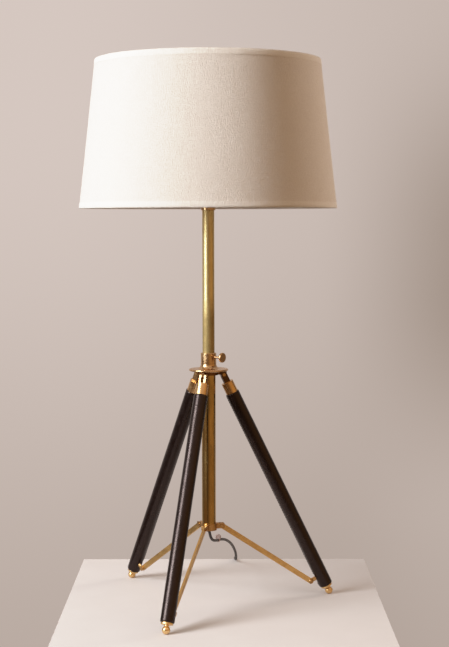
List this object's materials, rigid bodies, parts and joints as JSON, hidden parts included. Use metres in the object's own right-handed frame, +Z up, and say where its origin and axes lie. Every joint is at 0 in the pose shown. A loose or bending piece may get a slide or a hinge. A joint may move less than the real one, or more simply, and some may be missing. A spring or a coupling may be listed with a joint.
{
  "type": "table lamp",
  "caption": "Table lamp on a folding leather-covered tripod, with a height-adjustable brass stem held by a thumb screw, a harp and a drum shade of natural linen.",
  "frame": {"origin": "on the stem's axis at the height of the surface the feet stand on", "axes": "+Z up along the stem; -Y is the side seen from the front, +X to its right"},
  "size_m": [0.4064, 0.5796, 0.8662],
  "materials": {
    "polished_brass": "lacquered, polished, warm red-gold",
    "aged_brass": "aged satin with tarnish marks",
    "dark_brass": "darkened satin",
    "plated_brass": "bright satin",
    "leather": "dark waxed leather, stitched",
    "leg_wood": "bare hardwood dowel",
    "shade_linen": "natural linen on stiff backing",
    "ring_wire": "off-white enamelled wire",
    "cord_braid": "dark braided cover",
    "black_rubber": "matt",
    "clear_plastic": "smoky translucent",
    "black_plastic": "moulded satin",
    "bulb_metal": "spun thread",
    "bulb_glass": "frosted inside"
  },
  "bodies": {
    "base": {"hub_collar": "polished_brass", "hub_flange": "polished_brass", "leg_bracket": "dark_brass", "leg_pins": "dark_brass", "lower_tube": "aged_brass", "tube_foot": "dark_brass", "cord_bush": "black_rubber", "cord_run": "cord_braid", "cord_coil": "cord_braid", "cord_tail": "cord_braid", "cord_tie": "black_rubber", "cord_clip": "clear_plastic", "plug": "black_plastic", "plug_blades": "plated_brass"},
    "clamp": {"clamp_tip": "dark_brass"},
    "thumb": {"thumb_screw": "polished_brass"},
    "stem": {"upper_tube": "aged_brass", "stem_cap": "polished_brass", "stem_nipple": "plated_brass", "stem_lead": "cord_braid", "harp_saddle": "plated_brass", "harp": "plated_brass", "socket_cap": "plated_brass", "socket_shell": "plated_brass", "socket_interior": "black_plastic", "screw_shell": "plated_brass", "bulb_cap": "bulb_metal", "bulb_globe": "bulb_glass"},
    "key": {"switch_key": "black_plastic"},
    "harp_sleeve_left": {"harp_sleeve_1": "plated_brass"},
    "harp_sleeve_right": {"harp_sleeve_2": "plated_brass"},
    "shade": {"shade_drum": "shade_linen", "shade_top_ring": "ring_wire", "shade_bottom_ring": "ring_wire", "shade_spider": "ring_wire"},
    "finial_knob": {"finial": "plated_brass"},
    "spreader": {"spreader_collar": "dark_brass", "spreader_pins": "dark_brass"},
    "leg_1": {"leg_1_ferrule": "polished_brass", "leg_1_core": "leg_wood", "leg_1_sleeve": "leather", "leg_1_foot": "polished_brass", "stay_stud_1": "dark_brass"},
    "stay_1_arm": {"stay_1": "aged_brass", "stay_screw_1": "dark_brass"},
    "leg_2": {"leg_2_ferrule": "polished_brass", "leg_2_core": "leg_wood", "leg_2_sleeve": "leather", "leg_2_foot": "polished_brass", "stay_stud_2": "dark_brass"},
    "stay_2_arm": {"stay_2": "aged_brass", "stay_screw_2": "dark_brass"},
    "leg_3": {"leg_3_ferrule": "polished_brass", "leg_3_core": "leg_wood", "leg_3_sleeve": "leather", "leg_3_foot": "polished_brass", "stay_stud_3": "dark_brass"},
    "stay_3_arm": {"stay_3": "aged_brass", "stay_screw_3": "dark_brass"}
  },
  "joints": [
    {"name": "stem_slide", "type": "slide", "parent": "base", "child": "stem", "axis": [0, 0, 1], "range_m": [-0.145, 0.06]},
    {"name": "clamp_slide", "type": "slide", "parent": "base", "child": "clamp", "axis": [0.788, -0.6157, 0], "range_m": [0, 0.0014]},
    {"name": "thumb_turn", "type": "hinge", "parent": "clamp", "child": "thumb", "pos_m": [0, 0, 0.39415], "axis": [0.788, -0.6157, 0], "range_deg": [0, 720]},
    {"name": "key_turn", "type": "hinge", "parent": "stem", "child": "key", "pos_m": [0, 0, 0.65715], "axis": [-0.9063, -0.4226, 0], "continuous": true},
    {"name": "harp_sleeve_left_lift", "type": "slide", "parent": "stem", "child": "harp_sleeve_left", "axis": [0, 0, 1], "range_m": [0, 0.008]},
    {"name": "harp_sleeve_right_lift", "type": "slide", "parent": "stem", "child": "harp_sleeve_right", "axis": [0, 0, 1], "range_m": [0, 0.008]},
    {"name": "shade_turn", "type": "hinge", "parent": "stem", "child": "shade", "pos_m": [0, 0, 0.84755], "axis": [0, 0, 1], "continuous": true},
    {"name": "finial_turn", "type": "hinge", "parent": "stem", "child": "finial_knob", "pos_m": [0, 0, 0.8492], "axis": [0, 0, 1], "continuous": true},
    {"name": "spreader_slide", "type": "slide", "parent": "base", "child": "spreader", "axis": [0, 0, 1], "range_m": [0, 0.0496]},
    {"name": "leg_1_fold", "type": "hinge", "parent": "base", "child": "leg_1", "pos_m": [-0.00742, -0.02283, 0.36525], "axis": [0.9511, -0.309, 0], "range_deg": [0, 21]},
    {"name": "stay_1_fold", "type": "hinge", "parent": "spreader", "child": "stay_1_arm", "pos_m": [-0.00634, -0.0195, 0.1217], "axis": [0.9511, -0.309, 0], "range_deg": [0, 51.33]},
    {"name": "leg_2_fold", "type": "hinge", "parent": "base", "child": "leg_2", "pos_m": [0.02348, 0.00499, 0.36525], "axis": [-0.2079, 0.9781, 0], "range_deg": [0, 21]},
    {"name": "stay_2_fold", "type": "hinge", "parent": "spreader", "child": "stay_2_arm", "pos_m": [0.02005, 0.00426, 0.1217], "axis": [-0.2079, 0.9781, 0], "range_deg": [0, 51.33]},
    {"name": "leg_3_fold", "type": "hinge", "parent": "base", "child": "leg_3", "pos_m": [-0.01606, 0.01784, 0.36525], "axis": [-0.7431, -0.6691, 0], "range_deg": [0, 21]},
    {"name": "stay_3_fold", "type": "hinge", "parent": "spreader", "child": "stay_3_arm", "pos_m": [-0.01372, 0.01523, 0.1217], "axis": [-0.7431, -0.6691, 0], "range_deg": [0, 51.33]}
  ],
  "couplings": [
    {"joint": "clamp_slide", "follows": "thumb_turn", "m_per_rad": 0.00011141},
    {"joint": "leg_2_fold", "follows": "leg_1_fold", "ratio": 1},
    {"joint": "leg_3_fold", "follows": "leg_1_fold", "ratio": 1},
    {"joint": "spreader_slide", "follows": "leg_1_fold", "m_per_rad": 0.13532},
    {"joint": "stay_1_fold", "follows": "leg_1_fold", "ratio": 2.4444},
    {"joint": "stay_2_fold", "follows": "leg_1_fold", "ratio": 2.4444},
    {"joint": "stay_3_fold", "follows": "leg_1_fold", "ratio": 2.4444}
  ]
}
